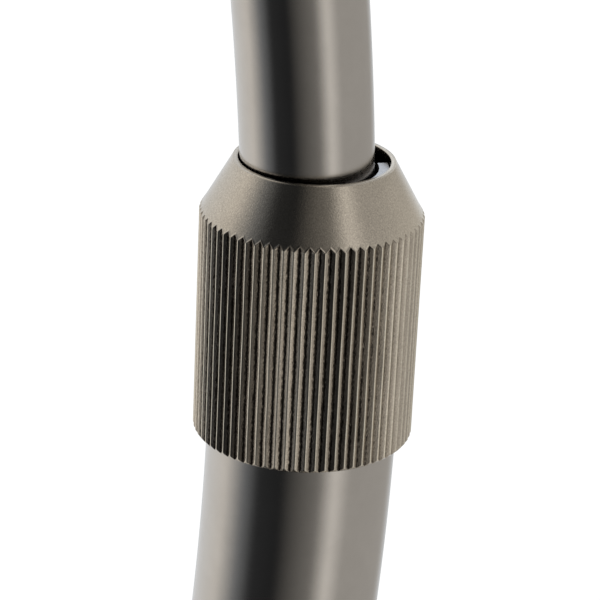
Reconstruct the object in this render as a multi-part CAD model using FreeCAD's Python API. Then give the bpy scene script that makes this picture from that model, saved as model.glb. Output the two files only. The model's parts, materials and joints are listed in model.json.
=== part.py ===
import FreeCAD, Part
import math
import os

# Carpet knee kicker with a bowed telescoping shaft. Millimetres, +Z up, +X towards the toothed head.
# The two shaft tubes are bent to one radius, so the inner tube slides in the outer one along the arc.
# A fluted clamping collar squeezes a split collet round the inner tube and holds the length.

# ---- driving dimensions ----------------------------------------------------------------------
# shaft line: an arc about a centre below the tool, with a straight end in each casting
BEND_R = 600.0
BOW_TOP_Z = 73.0
HEAD_ANGLE = 19.0
PAD_ANGLE = -8.0
COLLAR_ANGLE = 5.0
SOCKET_STRAIGHT = 42.0

# tubes, outside radius and wall
OUTER_TUBE_R = 16.0
INNER_TUBE_R = 11.0
TUBE_WALL = 1.5
MOUTH_STRAIGHT = 11.0

# clamping collar, measured along its own axis from its bottom rim
COLLAR_R = 18.5
COLLAR_BODY = 38.6
COLLAR_CONE = 9.35
COLLAR_BELOW = 10.0
RIM_R = 13.27
OPENING_R = 12.43
COLLAR_BORE_R = 16.06
COLLAR_ENTRY_R = 16.3
COLLAR_ENTRY_DEEP = 8.0
SHOULDER_AT = 41.0
FLUTE_COUNT = 70
FLUTE_DEPTH = 0.5
EDGE_BREAK = 0.5
RIM_BREAK = 0.15
SEAL_AT = 3.0
SEAL_WIDE = 1.8
SEAL_R = 16.9

# collet and the ferrule that it is squeezed into
COLLET_NECK_R = 12.2
COLLET_SHOULDER_R = 15.2
COLLET_NOSE_R = 12.6
COLLET_TAPER_R = 14.2
COLLET_TOP_BELOW_RIM = 1.2
COLLET_MOUTH_R = 10.55
COLLET_MOUTH_DEEP = 5.0
COLLET_GRIP_GAP = 0.2
COLLET_SPLIT_FROM = 13.0
COLLET_SPLIT_TO = 70.0
COLLET_SLOT_WIDE = 11.0
COLLET_NOSE_AT = 24.0
COLLET_CHAMFER = 1.0
COLLET_GRIP_FROM = COLLAR_ANGLE - 2.0
COLLET_GRIP_TO = COLLAR_ANGLE + 6.0
TAPER_END_AT = 31.5
WASHER_THICK = 1.2
WASHER_BORE_R = 12.6
WASHER_R = 15.8
FERRULE_FOOT_AT = 4.0
FERRULE_THREAD_AT = 21.0
FERRULE_TOP_AT = 31.0
FERRULE_BORE_R = 11.9
TAPER_GAP = 0.3

# guide bush on the inner tube's hidden end, as angles along the bend
BUSH_GAP = 0.08
BUSH_REAR_ANGLE = -4.6
BUSH_FRONT_ANGLE = -2.0
BUSH_PIN_R = 2.0
BUSH_PIN_HALF = 13.9

# head casting
HEAD_X0 = 239.0
HEAD_LONG = 64.0
HEAD_HALF_WIDE = 66.0
HEAD_TOP = 36.0
HEAD_ROOF = 27.0
HEAD_CORNER_R = 12.0
HEAD_TOP_EDGE_R = 6.0
HEAD_WALL_X = 5.0
CAVITY_HALF_WIDE = 57.5
BOSS_R = 17.0
BOSS_INTO_BLOCK = 4.0
NECK_X0 = 208.0
NECK_TOP = 27.0
NECK_HALF_WIDE = 16.0
NECK_EDGE_R = 8.0
NECK_WIDE_AT_BLOCK = 40.0
PLATE_THICK = 3.0
PLATE_MARGIN = 1.0

# pin carriers: centre from the head's rear face, half length across, height, thickness and travel room
CARRIER_HALF_WIDE = 56.5
CARRIER_DEEP = 20.0
CAVITY_DEEP = 24.0
CARRIER_Z = 13.0
MAIN_CENTRE = HEAD_X0 + 17.0
NAP_CENTRE = HEAD_X0 + 46.0
MAIN_THICK = 6.0
NAP_THICK = 5.0
MAIN_PIN_R = 1.1
MAIN_PIN_PITCH_Y = 12.0
MAIN_PINS_A_SIDE = 5
MAIN_ROWS_X = (-5.0, 5.0)
NAP_PIN_R = 0.7
NAP_PIN_PITCH_Y = 7.0
NAP_PINS_A_SIDE = 8
NAP_ROWS_X = (-7.5, -2.5, 2.5, 7.5)
PIN_TIP_Z = 0.4
PIN_TIP_LONG = 3.0
PIN_POINT_R = 0.13
PIN_HOLE_GAP = 0.4
POST_R = 2.5
POST_GAP = 0.08
MAIN_POST_Y = 36.0
NAP_POST_Y = 35.0
POST_PRESSED = 4.0

# depth dials
DIAL_R = 13.0
DIAL_TALL = 6.0
DIAL_SCALLOPS = 24
DIAL_SCALLOP_R = 1.1
DIAL_SHAFT_R = 3.0
DIAL_GAP = 0.06
DIAL_RECESS = 1.5
DIAL_RECESS_R = 14.0
DIAL_WASHER = 0.8
DIAL_WASHER_R = 8.0
DIAL_WASHER_GAP = 0.2
DIAL_SLOT = 2.0
DIAL_SLOT_DEEP = 1.6
DIAL_SLOT_REACH = 9.75
DIAL_CHAMFER = 0.8
DIAL_SCALLOP_OUT = 0.385
DIAL_SHAFT_FOOT = 3.3
CLIP_THICK = 1.0
CLIP_BELOW_ROOF = 0.2
CLIP_R = 5.5
CLIP_GROOVE_R = 2.5
CLIP_MOUTH_HALF = 1.75

# fasteners
BASE_SCREW_R = 1.5
BASE_SCREW_HEAD_R = 2.9
BASE_SCREW_LONG = 14.0
BASE_SCREW_SUNK = 0.2
BASE_SCREW_SLOT_WIDE = 0.7
BASE_SCREW_SLOT_DEEP = 0.6
BASE_SCREW_Y = 61.0
BASE_SCREWS_X = (7.0, 31.0, 57.0)
HEAD_BOLT_R = 2.5
HEAD_BOLT_BACK = 25.0
HEAD_BOLT_PAST = 5.0
HEAD_SPOT_FACE = 15.5
BRACKET_BOLT_R = 3.0
BRACKET_BOLT_PAST = 6.0
BRACKET_SPOT_FACE = 19.5
SPOT_FACE_ROOM = 1.5
BOLT_HEAD_TALL = 0.7
HEX_WIDTH = 1.75

# rear casting and pad
BRACKET_R = 21.0
BRACKET_SOCKET = 36.0
FLANGE_X = -128.0
FLANGE_THICK = 8.0
FLANGE_HALF = 46.0
FLANGE_CORNER_R = 12.0
RIB_THICK = 6.0
RIB_LONG = 26.0
SIDE_RIB_LONG = 15.6
RIB_TALL = 42.0
BOARD_THICK = 12.0
PAD_CENTRE_Z = 62.0
PAD_HALF_WIDE = 64.0
PAD_HALF_TALL = 62.0
PAD_CORNER_R = 26.0
PAD_DEEP = 57.0
PAD_EDGE_R = 16.0
COVER_THICK = 2.0
COVER_LIP_HALF = 50.0
PAD_BOLT_SPACING = 34.0
PAD_BOLT_R = 3.0
PAD_WASHER_R = 7.0
WASHER_UNDER_HEAD = 1.2
TEE_NUT_R = 8.0
TEE_NUT_THICK = 1.2
TEE_BARREL_R = 4.0
TEE_BARREL_LONG = 9.0
TACK_HEAD_R = 3.6
TACK_HEAD_TALL = 2.0
TACK_SHANK_R = 0.9
TACK_LONG = 9.0
TACKS_A_SIDE = 4
TACK_LINE = 56.5

# ---- derived places --------------------------------------------------------------------------
PAD_REAR_X = FLANGE_X - FLANGE_THICK - BOARD_THICK - PAD_DEEP
HEAD_FRONT_X = HEAD_X0 + HEAD_LONG
MIDDLE_X = (PAD_REAR_X + HEAD_FRONT_X) / 2
CENTRE = FreeCAD.Vector(0, 0, BOW_TOP_Z - BEND_R)
ACROSS = FreeCAD.Vector(0, 1, 0)
UP = FreeCAD.Vector(0, 0, 1)
AHEAD = FreeCAD.Vector(1, 0, 0)
COLLAR_TALL = COLLAR_BODY + COLLAR_CONE
OUTER_BORE_R = OUTER_TUBE_R - TUBE_WALL
INNER_BORE_R = INNER_TUBE_R - TUBE_WALL
OVER = 1.0
CUT_REACH = 40.0


# ---- shaft line ------------------------------------------------------------------------------
def on_bend(angle):
    """Point of the shaft's centre line at an angle from the top of the bow."""
    a = math.radians(angle)
    return CENTRE + FreeCAD.Vector(math.sin(a), 0, math.cos(a)) * BEND_R


def along_bend(angle):
    """Unit direction of the shaft towards the head at that angle."""
    a = math.radians(angle)
    return FreeCAD.Vector(math.cos(a), 0, -math.sin(a))


def bent_rod(radius, start, end):
    """Solid round rod that follows the bend between two angles."""
    circle = Part.makeCircle(radius, on_bend(start), along_bend(start))
    face = Part.Face(Part.Wire(circle))
    return face.revolve(CENTRE, ACROSS, end - start)


def head_end(back=0.0):
    """Point on the inner tube's straight end, measured back from its tip."""
    return on_bend(HEAD_ANGLE) + along_bend(HEAD_ANGLE) * (SOCKET_STRAIGHT - back)


def pad_end(back=0.0):
    """Point on the outer tube's straight end, measured back from its tip."""
    return on_bend(PAD_ANGLE) - along_bend(PAD_ANGLE) * (SOCKET_STRAIGHT - back)


def collar_place():
    """Placement of the collar's own frame: Z along its axis, X away from the bend's centre."""
    axis = along_bend(COLLAR_ANGLE)
    side = (on_bend(COLLAR_ANGLE) - CENTRE).normalize()
    third = axis.cross(side)
    turn = FreeCAD.Rotation(side, third, axis, "ZXY")
    return FreeCAD.Placement(on_bend(COLLAR_ANGLE) - axis * COLLAR_BELOW, turn)


# ---- plain helpers ---------------------------------------------------------------------------
def rod(radius, start, direction, length):
    return Part.makeCylinder(radius, length, start, direction)


def ring(outer, inner, start, direction, length):
    hole = rod(inner, start - direction * OVER, direction, length + 2 * OVER)
    return rod(outer, start, direction, length).cut(hole)


def block(x0, x1, y0, y1, z0, z1):
    return Part.makeBox(x1 - x0, y1 - y0, z1 - z0, FreeCAD.Vector(x0, y0, z0))


def turned(profile):
    """Solid of revolution about Z from (radius, height) corners."""
    points = [FreeCAD.Vector(r, 0, h) for r, h in profile]
    face = Part.Face(Part.makePolygon(points + points[:1]))
    return face.revolve(FreeCAD.Vector(0, 0, 0), UP, 360)


def rounded_plate(half_y, half_z, corner, x0, x1, centre_z):
    """Plate square to X with rounded corners."""
    plate = block(x0, x1, -half_y, half_y, centre_z - half_z, centre_z + half_z)
    edges = [e for e in plate.Edges if abs(e.tangentAt(e.FirstParameter).x) > 0.99]
    return plate.makeFillet(corner, edges)


def hex_prism(across_corners_r, start, direction, length):
    """Hexagonal prism, for bolt heads and nuts."""
    side = direction.cross(UP if abs(direction.z) < 0.9 else AHEAD).normalize()
    other = direction.cross(side)
    points = []
    for i in range(7):
        a = math.radians(60 * i)
        spoke = side * math.cos(a) + other * math.sin(a)
        points.append(start + spoke * across_corners_r)
    return Part.Face(Part.makePolygon(points)).extrude(direction * length)


def hex_bolt(shank_r, start, direction, length):
    """Bolt with its head's underside at start; the shank runs along direction."""
    tall = 2 * shank_r * BOLT_HEAD_TALL
    head = hex_prism(shank_r * HEX_WIDTH, start - direction * tall, direction, tall)
    return head.fuse(rod(shank_r, start, direction, length)).removeSplitter()


def hex_nut(shank_r, start, direction):
    tall = 2 * shank_r * BOLT_HEAD_TALL
    nut = hex_prism(shank_r * HEX_WIDTH, start, direction, tall)
    return nut.cut(rod(shank_r, start - direction * OVER, direction, tall + 2 * OVER))


def group(solids):
    return Part.makeCompound([s for shape in solids for s in shape.Solids])


# ---- shaft tubes -----------------------------------------------------------------------------
def outer_line(radius, extra=0.0):
    """Outer tube's outline as a solid rod: straight rear end, bend, straight mouth."""
    rear = rod(radius, pad_end(-extra), along_bend(PAD_ANGLE), SOCKET_STRAIGHT + extra)
    bend = bent_rod(radius, PAD_ANGLE, COLLAR_ANGLE)
    mouth = rod(radius, on_bend(COLLAR_ANGLE), along_bend(COLLAR_ANGLE), MOUTH_STRAIGHT + extra)
    return rear.fuse([bend, mouth])


def outer_tube():
    return outer_line(OUTER_TUBE_R).cut(outer_line(OUTER_BORE_R, OVER)).removeSplitter()


def inner_line(radius, extra=0.0):
    """Inner tube's outline: bent from its hidden end to the head, then straight."""
    extra_angle = math.degrees(extra / BEND_R)
    bend = bent_rod(radius, BUSH_REAR_ANGLE - extra_angle, HEAD_ANGLE)
    front = rod(radius, on_bend(HEAD_ANGLE), along_bend(HEAD_ANGLE), SOCKET_STRAIGHT + extra)
    return bend.fuse(front)


def inner_tube():
    return inner_line(INNER_TUBE_R).cut(inner_line(INNER_BORE_R, OVER)).removeSplitter()


def guide_bush():
    outside = bent_rod(OUTER_BORE_R - BUSH_GAP, BUSH_REAR_ANGLE, BUSH_FRONT_ANGLE)
    extra_angle = math.degrees(OVER / BEND_R)
    return outside.cut(bent_rod(INNER_TUBE_R, BUSH_REAR_ANGLE - extra_angle, BUSH_FRONT_ANGLE + extra_angle))


def bush_pin():
    middle = on_bend((BUSH_REAR_ANGLE + BUSH_FRONT_ANGLE) / 2)
    return rod(BUSH_PIN_R, middle - ACROSS * BUSH_PIN_HALF, ACROSS, 2 * BUSH_PIN_HALF)


# ---- clamping collar and what it holds, each in the collar's own frame ------------------------
def fluted_bar():
    """Bar whose outline is a ring of full-width V grooves."""
    points = []
    for i in range(2 * FLUTE_COUNT):
        r = COLLAR_R if i % 2 == 0 else COLLAR_R - FLUTE_DEPTH
        a = math.pi * i / FLUTE_COUNT
        points.append(FreeCAD.Vector(r * math.cos(a), r * math.sin(a), -OVER))
    face = Part.Face(Part.makePolygon(points + points[:1]))
    return face.extrude(UP * (COLLAR_TALL + 2 * OVER))


def collar():
    outside = COLLAR_R + FLUTE_DEPTH
    slope = (COLLAR_R - RIM_R) / COLLAR_CONE
    envelope = turned([
        (0, 0),
        (COLLAR_R - EDGE_BREAK, 0),
        (outside, EDGE_BREAK + FLUTE_DEPTH),
        (outside, COLLAR_BODY - FLUTE_DEPTH / slope),
        (RIM_R + RIM_BREAK * slope, COLLAR_TALL - RIM_BREAK),
        (RIM_R - RIM_BREAK, COLLAR_TALL),
        (0, COLLAR_TALL),
    ])
    bore = turned([
        (0, -OVER),
        (COLLAR_ENTRY_R, -OVER),
        (COLLAR_ENTRY_R, SEAL_AT),
        (SEAL_R, SEAL_AT),
        (SEAL_R, SEAL_AT + SEAL_WIDE),
        (COLLAR_ENTRY_R, SEAL_AT + SEAL_WIDE),
        (COLLAR_ENTRY_R, COLLAR_ENTRY_DEEP),
        (COLLAR_BORE_R, COLLAR_ENTRY_DEEP),
        (COLLAR_BORE_R, SHOULDER_AT),
        (OPENING_R, SHOULDER_AT),
        (OPENING_R, COLLAR_TALL - RIM_BREAK),
        (OPENING_R + RIM_BREAK + OVER, COLLAR_TALL + OVER),
        (0, COLLAR_TALL + OVER),
    ])
    return fluted_bar().common(envelope).cut(bore)


def dust_seal():
    return ring(SEAL_R, COLLAR_ENTRY_R, UP * SEAL_AT, UP, SEAL_WIDE)


def thrust_washer():
    return ring(WASHER_R, WASHER_BORE_R, UP * (SHOULDER_AT - WASHER_THICK), UP, WASHER_THICK)


def ferrule():
    """Threaded ferrule pressed into the outer tube's mouth, with an internal taper."""
    outside = turned([
        (0, FERRULE_FOOT_AT),
        (OUTER_BORE_R, FERRULE_FOOT_AT),
        (OUTER_BORE_R, FERRULE_THREAD_AT),
        (OUTER_TUBE_R, FERRULE_THREAD_AT),
        (OUTER_TUBE_R, FERRULE_TOP_AT),
        (0, FERRULE_TOP_AT),
    ])
    slope = (COLLET_TAPER_R - COLLET_NOSE_R) / (TAPER_END_AT - COLLET_NOSE_AT)
    taper_top_r = COLLET_NOSE_R + TAPER_GAP + slope * (FERRULE_TOP_AT + OVER - COLLET_NOSE_AT)
    inside = turned([
        (0, FERRULE_FOOT_AT - OVER),
        (FERRULE_BORE_R, FERRULE_FOOT_AT - OVER),
        (FERRULE_BORE_R, COLLET_NOSE_AT - OVER),
        (COLLET_NOSE_R + TAPER_GAP, COLLET_NOSE_AT - OVER),
        (COLLET_NOSE_R + TAPER_GAP, COLLET_NOSE_AT),
        (taper_top_r, FERRULE_TOP_AT + OVER),
        (0, FERRULE_TOP_AT + OVER),
    ])
    return outside.cut(inside)


def collet_blank():
    shoulder_top = SHOULDER_AT - WASHER_THICK
    top = COLLAR_TALL - COLLET_TOP_BELOW_RIM
    return turned([
        (0, COLLET_NOSE_AT),
        (COLLET_NOSE_R, COLLET_NOSE_AT),
        (COLLET_TAPER_R, TAPER_END_AT),
        (COLLET_SHOULDER_R, TAPER_END_AT + COLLET_CHAMFER),
        (COLLET_SHOULDER_R, shoulder_top),
        (COLLET_NECK_R, shoulder_top),
        (COLLET_NECK_R, top),
        (0, top),
    ])


def wedge(start, end):
    """Sector from the axis outwards, for the collet's split."""
    reach = 2 * COLLAR_R
    points = [FreeCAD.Vector(0, 0, 0)]
    steps = 4
    for i in range(steps + 1):
        a = math.radians(start + (end - start) * i / steps)
        points.append(FreeCAD.Vector(reach * math.cos(a), reach * math.sin(a), 0))
    return Part.Face(Part.makePolygon(points + points[:1])).extrude(UP * COLLAR_TALL)


def collet(place):
    """Split collet: a wide gap behind, a relief slot where the bent tube passes closest."""
    blank = collet_blank()
    top = COLLAR_TALL - COLLET_TOP_BELOW_RIM
    blank = blank.cut(wedge(COLLET_SPLIT_FROM, COLLET_SPLIT_TO))
    blank = blank.cut(rod(COLLET_MOUTH_R, UP * (top - COLLET_MOUTH_DEEP), UP, COLLET_MOUTH_DEEP + OVER))
    half = COLLET_SLOT_WIDE / 2
    slot = block(-2 * COLLAR_R, 0, -half, half, SHOULDER_AT, COLLAR_TALL)
    blank = blank.cut(slot)
    blank.Placement = place
    return blank.cut(bent_rod(INNER_TUBE_R + COLLET_GRIP_GAP, COLLET_GRIP_FROM, COLLET_GRIP_TO))


# ---- head ------------------------------------------------------------------------------------
def neck():
    """Tapered web that joins the socket boss to the head's block."""
    points = [
        FreeCAD.Vector(NECK_X0, -NECK_HALF_WIDE, PLATE_THICK),
        FreeCAD.Vector(HEAD_X0 + HEAD_WALL_X, -NECK_WIDE_AT_BLOCK, PLATE_THICK),
        FreeCAD.Vector(HEAD_X0 + HEAD_WALL_X, NECK_WIDE_AT_BLOCK, PLATE_THICK),
        FreeCAD.Vector(NECK_X0, NECK_HALF_WIDE, PLATE_THICK),
    ]
    web = Part.Face(Part.makePolygon(points + points[:1])).extrude(UP * (NECK_TOP - PLATE_THICK))
    top = [e for e in web.Edges if all(abs(v.Z - NECK_TOP) < 0.01 for v in e.Vertexes)]
    sides = [e for e in top if abs(e.tangentAt(e.FirstParameter).x) > 0.3]
    return web.makeFillet(NECK_EDGE_R, sides)


def head_block():
    solid = block(HEAD_X0, HEAD_FRONT_X, -HEAD_HALF_WIDE, HEAD_HALF_WIDE, PLATE_THICK, HEAD_TOP)
    upright = [e for e in solid.Edges if abs(e.tangentAt(e.FirstParameter).z) > 0.99]
    solid = solid.makeFillet(HEAD_CORNER_R, upright)
    top = [e for e in solid.Edges if all(abs(v.Z - HEAD_TOP) < 0.01 for v in e.Vertexes)]
    return solid.makeFillet(HEAD_TOP_EDGE_R, top)


def carrier_room(centre):
    return block(centre - CAVITY_DEEP / 2, centre + CAVITY_DEEP / 2, -CAVITY_HALF_WIDE, CAVITY_HALF_WIDE,
                 PLATE_THICK - OVER, HEAD_ROOF)


def head_body():
    start = head_end(SOCKET_STRAIGHT)
    line = along_bend(HEAD_ANGLE)
    boss = rod(BOSS_R, start, line, SOCKET_STRAIGHT + BOSS_INTO_BLOCK)
    body = head_block().fuse([neck(), boss])
    floor_cut = block(NECK_X0 - CUT_REACH, HEAD_FRONT_X, -HEAD_HALF_WIDE, HEAD_HALF_WIDE,
                      -CUT_REACH, PLATE_THICK)
    cuts = [floor_cut, rod(INNER_TUBE_R, start - line * OVER, line, SOCKET_STRAIGHT + OVER)]
    for centre in (MAIN_CENTRE, NAP_CENTRE):
        cuts.append(carrier_room(centre))
        cuts.append(rod(DIAL_SHAFT_R + DIAL_GAP, FreeCAD.Vector(centre, 0, HEAD_ROOF - OVER), UP, HEAD_TOP))
        cuts.append(rod(DIAL_RECESS_R, FreeCAD.Vector(centre, 0, HEAD_TOP - DIAL_RECESS), UP, HEAD_TOP))
    bolt_line = head_end(HEAD_BOLT_BACK)
    for side in (-1, 1):
        seat = bolt_line + ACROSS * side * HEAD_SPOT_FACE
        cuts.append(rod(HEX_WIDTH * HEAD_BOLT_R + SPOT_FACE_ROOM, seat, ACROSS * side, CUT_REACH))
    return body.cut(cuts)


def head_base_plate():
    plate = block(HEAD_X0 + PLATE_MARGIN, HEAD_FRONT_X - PLATE_MARGIN, -HEAD_HALF_WIDE + PLATE_MARGIN,
                  HEAD_HALF_WIDE - PLATE_MARGIN, 0, PLATE_THICK)
    upright = [e for e in plate.Edges if abs(e.tangentAt(e.FirstParameter).z) > 0.99]
    plate = plate.makeFillet(HEAD_CORNER_R - PLATE_MARGIN, upright)
    holes = [rod(MAIN_PIN_R + PIN_HOLE_GAP, p - UP * OVER, UP, PLATE_THICK + 2 * OVER) for p in main_pin_feet()]
    holes += [rod(NAP_PIN_R + PIN_HOLE_GAP, p - UP * OVER, UP, PLATE_THICK + 2 * OVER) for p in nap_pin_feet()]
    return plate.cut(holes)


def pin_feet(centre, rows, pitch, a_side):
    """Floor points below each pin of a carrier."""
    feet = []
    for row in rows:
        for i in range(-a_side, a_side):
            feet.append(FreeCAD.Vector(centre + row, pitch * (i + 0.5), 0))
    return feet


def main_pin_feet():
    return pin_feet(MAIN_CENTRE, MAIN_ROWS_X, MAIN_PIN_PITCH_Y, MAIN_PINS_A_SIDE)


def nap_pin_feet():
    return pin_feet(NAP_CENTRE, NAP_ROWS_X, NAP_PIN_PITCH_Y, NAP_PINS_A_SIDE)


def pins(feet, radius, top):
    solids = []
    for foot in feet:
        tip = Part.makeCone(PIN_POINT_R, radius, PIN_TIP_LONG, foot + UP * PIN_TIP_Z, UP)
        shank_z = PIN_TIP_Z + PIN_TIP_LONG
        solids.append(tip.fuse(rod(radius, foot + UP * shank_z, UP, top - shank_z)).removeSplitter())
    return group(solids)


def main_pins():
    return pins(main_pin_feet(), MAIN_PIN_R, CARRIER_Z + MAIN_THICK)


def nap_pins():
    return pins(nap_pin_feet(), NAP_PIN_R, CARRIER_Z + NAP_THICK)


def post_spots(centre, post_y):
    return [FreeCAD.Vector(centre, side * post_y, 0) for side in (-1, 1)]


def carrier(centre, thick, feet, pin_r, post_y):
    bar = block(centre - CARRIER_DEEP / 2, centre + CARRIER_DEEP / 2, -CARRIER_HALF_WIDE, CARRIER_HALF_WIDE,
                CARRIER_Z, CARRIER_Z + thick)
    low = UP * (CARRIER_Z - OVER)
    long = thick + 2 * OVER
    cuts = [rod(pin_r, foot + low, UP, long) for foot in feet]
    cuts += [rod(POST_R + POST_GAP, spot + low, UP, long) for spot in post_spots(centre, post_y)]
    cuts.append(rod(DIAL_SHAFT_R + DIAL_GAP, FreeCAD.Vector(centre, 0, 0) + low, UP, long))
    return bar.cut(cuts)


def guide_posts():
    spots = post_spots(MAIN_CENTRE, MAIN_POST_Y) + post_spots(NAP_CENTRE, NAP_POST_Y)
    tall = HEAD_ROOF + POST_PRESSED - PLATE_THICK
    return group([rod(POST_R, spot + UP * PLATE_THICK, UP, tall) for spot in spots])


def dial(centre):
    """Scalloped depth dial with its screw; the thread is left as a plain shaft."""
    foot = HEAD_TOP - DIAL_RECESS + DIAL_WASHER
    middle = FreeCAD.Vector(centre, 0, 0)
    knob = rod(DIAL_R, middle + UP * foot, UP, DIAL_TALL)
    rim = [e for e in knob.Edges if isinstance(e.Curve, Part.Circle)]
    knob = knob.makeChamfer(DIAL_CHAMFER, rim)
    cuts = []
    for i in range(DIAL_SCALLOPS):
        a = 2 * math.pi * i / DIAL_SCALLOPS
        spot = middle + FreeCAD.Vector(math.cos(a), math.sin(a), 0) * (DIAL_R + DIAL_SCALLOP_OUT)
        cuts.append(rod(DIAL_SCALLOP_R, spot, UP, HEAD_TOP + 2 * DIAL_TALL))
    top = foot + DIAL_TALL
    cuts.append(block(centre - DIAL_SLOT_REACH, centre + DIAL_SLOT_REACH, -DIAL_SLOT / 2, DIAL_SLOT / 2,
                      top - DIAL_SLOT_DEEP, top + OVER))
    knob = knob.cut(cuts)
    shaft = rod(DIAL_SHAFT_R, middle + UP * DIAL_SHAFT_FOOT, UP, foot - DIAL_SHAFT_FOOT)
    groove = ring(DIAL_SHAFT_R + OVER, CLIP_GROOVE_R, middle + UP * clip_z(), UP, CLIP_THICK)
    return knob.fuse(shaft).removeSplitter().cut(groove)


def clip_z():
    return HEAD_ROOF - CLIP_BELOW_ROOF - CLIP_THICK


def dial_clip(centre):
    """Open retaining clip in the shaft's groove."""
    middle = FreeCAD.Vector(centre, 0, clip_z())
    clip = ring(CLIP_R, CLIP_GROOVE_R, middle, UP, CLIP_THICK)
    mouth = block(centre, centre + 2 * CLIP_R, -CLIP_MOUTH_HALF, CLIP_MOUTH_HALF,
                  clip_z() - OVER, clip_z() + CLIP_THICK + OVER)
    return clip.cut(mouth)


def dial_washers():
    foot = HEAD_TOP - DIAL_RECESS
    bore = DIAL_SHAFT_R + DIAL_WASHER_GAP
    return group([ring(DIAL_WASHER_R, bore, FreeCAD.Vector(centre, 0, foot), UP, DIAL_WASHER)
                  for centre in (MAIN_CENTRE, NAP_CENTRE)])


def base_screw_feet():
    return [FreeCAD.Vector(HEAD_X0 + x, side * BASE_SCREW_Y, BASE_SCREW_SUNK)
            for x in BASE_SCREWS_X for side in (-1, 1)]


def base_screws():
    solids = []
    half = BASE_SCREW_SLOT_WIDE / 2
    for foot in base_screw_feet():
        cone = Part.makeCone(BASE_SCREW_HEAD_R, BASE_SCREW_R, BASE_SCREW_HEAD_R - BASE_SCREW_R, foot, UP)
        shank = rod(BASE_SCREW_R, foot, UP, BASE_SCREW_LONG)
        slot = block(foot.x - BASE_SCREW_HEAD_R, foot.x + BASE_SCREW_HEAD_R, foot.y - half, foot.y + half,
                     0, foot.z + BASE_SCREW_SLOT_DEEP)
        solids.append(cone.fuse(shank).removeSplitter().cut(slot))
    return group(solids)


def screw_seats():
    """Room for the base screws with their heads below the plate's face."""
    seats = []
    deep = BASE_SCREW_HEAD_R - BASE_SCREW_R
    for foot in base_screw_feet():
        seats.append(Part.makeCone(BASE_SCREW_HEAD_R, BASE_SCREW_R, deep, foot, UP))
        seats.append(rod(BASE_SCREW_HEAD_R, foot - UP * OVER, UP, OVER))
        seats.append(rod(BASE_SCREW_R, foot, UP, BASE_SCREW_LONG))
    return seats


def head_bolt():
    middle = head_end(HEAD_BOLT_BACK)
    long = 2 * HEAD_SPOT_FACE + HEAD_BOLT_PAST
    return hex_bolt(HEAD_BOLT_R, middle + ACROSS * HEAD_SPOT_FACE, ACROSS * -1, long)


def head_nut():
    middle = head_end(HEAD_BOLT_BACK)
    return hex_nut(HEAD_BOLT_R, middle - ACROSS * HEAD_SPOT_FACE, ACROSS * -1)


# ---- rear casting and pad --------------------------------------------------------------------
def bracket_rib(side):
    """Gusset above or below the socket."""
    z0 = pad_end().z
    points = [
        FreeCAD.Vector(FLANGE_X, -RIB_THICK / 2, z0),
        FreeCAD.Vector(FLANGE_X + RIB_LONG, -RIB_THICK / 2, z0),
        FreeCAD.Vector(FLANGE_X + RIB_LONG, -RIB_THICK / 2, z0 + side * BRACKET_R),
        FreeCAD.Vector(FLANGE_X, -RIB_THICK / 2, z0 + side * RIB_TALL),
    ]
    return Part.Face(Part.makePolygon(points + points[:1])).extrude(ACROSS * RIB_THICK)


def bracket_side_rib(side):
    """Gusset beside the socket."""
    z0 = pad_end().z - RIB_THICK / 2
    points = [
        FreeCAD.Vector(FLANGE_X, 0, z0),
        FreeCAD.Vector(FLANGE_X + SIDE_RIB_LONG, 0, z0),
        FreeCAD.Vector(FLANGE_X + SIDE_RIB_LONG, side * BRACKET_R, z0),
        FreeCAD.Vector(FLANGE_X, side * RIB_TALL, z0),
    ]
    return Part.Face(Part.makePolygon(points + points[:1])).extrude(UP * RIB_THICK)


def pad_bracket():
    line = along_bend(PAD_ANGLE)
    flange = rounded_plate(FLANGE_HALF, FLANGE_HALF, FLANGE_CORNER_R, FLANGE_X - FLANGE_THICK, FLANGE_X,
                           PAD_CENTRE_Z)
    socket = rod(BRACKET_R, pad_end(-FLANGE_THICK), line, BRACKET_SOCKET + FLANGE_THICK)
    behind = block(PAD_REAR_X, FLANGE_X - FLANGE_THICK, -PAD_HALF_WIDE, PAD_HALF_WIDE, 0, 2 * PAD_CENTRE_Z)
    body = flange.fuse([socket, bracket_rib(1), bracket_rib(-1), bracket_side_rib(1), bracket_side_rib(-1)])
    body = body.cut(behind)
    bolt_line = pad_end(SOCKET_STRAIGHT / 2)
    cuts = [rod(OUTER_TUBE_R, pad_end(), line, SOCKET_STRAIGHT + OVER)]
    for side in (-1, 1):
        seat = bolt_line + ACROSS * side * BRACKET_SPOT_FACE
        cuts.append(rod(HEX_WIDTH * BRACKET_BOLT_R + SPOT_FACE_ROOM, seat, ACROSS * side, CUT_REACH))
    return body.cut(cuts)


def bracket_bolt():
    middle = pad_end(SOCKET_STRAIGHT / 2)
    long = 2 * BRACKET_SPOT_FACE + BRACKET_BOLT_PAST
    return hex_bolt(BRACKET_BOLT_R, middle + ACROSS * BRACKET_SPOT_FACE, ACROSS * -1, long)


def bracket_nut():
    middle = pad_end(SOCKET_STRAIGHT / 2)
    return hex_nut(BRACKET_BOLT_R, middle - ACROSS * BRACKET_SPOT_FACE, ACROSS * -1)


def pad_bolt_spots(x):
    return [FreeCAD.Vector(x, sy * PAD_BOLT_SPACING, PAD_CENTRE_Z + sz * PAD_BOLT_SPACING)
            for sy in (-1, 1) for sz in (-1, 1)]


def pad_washers():
    return group([ring(PAD_WASHER_R, PAD_BOLT_R, spot, AHEAD, WASHER_UNDER_HEAD)
                  for spot in pad_bolt_spots(FLANGE_X)])


def pad_bolts():
    long = WASHER_UNDER_HEAD + FLANGE_THICK + BOARD_THICK + TEE_NUT_THICK
    return group([hex_bolt(PAD_BOLT_R, spot, AHEAD * -1, long)
                  for spot in pad_bolt_spots(FLANGE_X + WASHER_UNDER_HEAD)])


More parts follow.
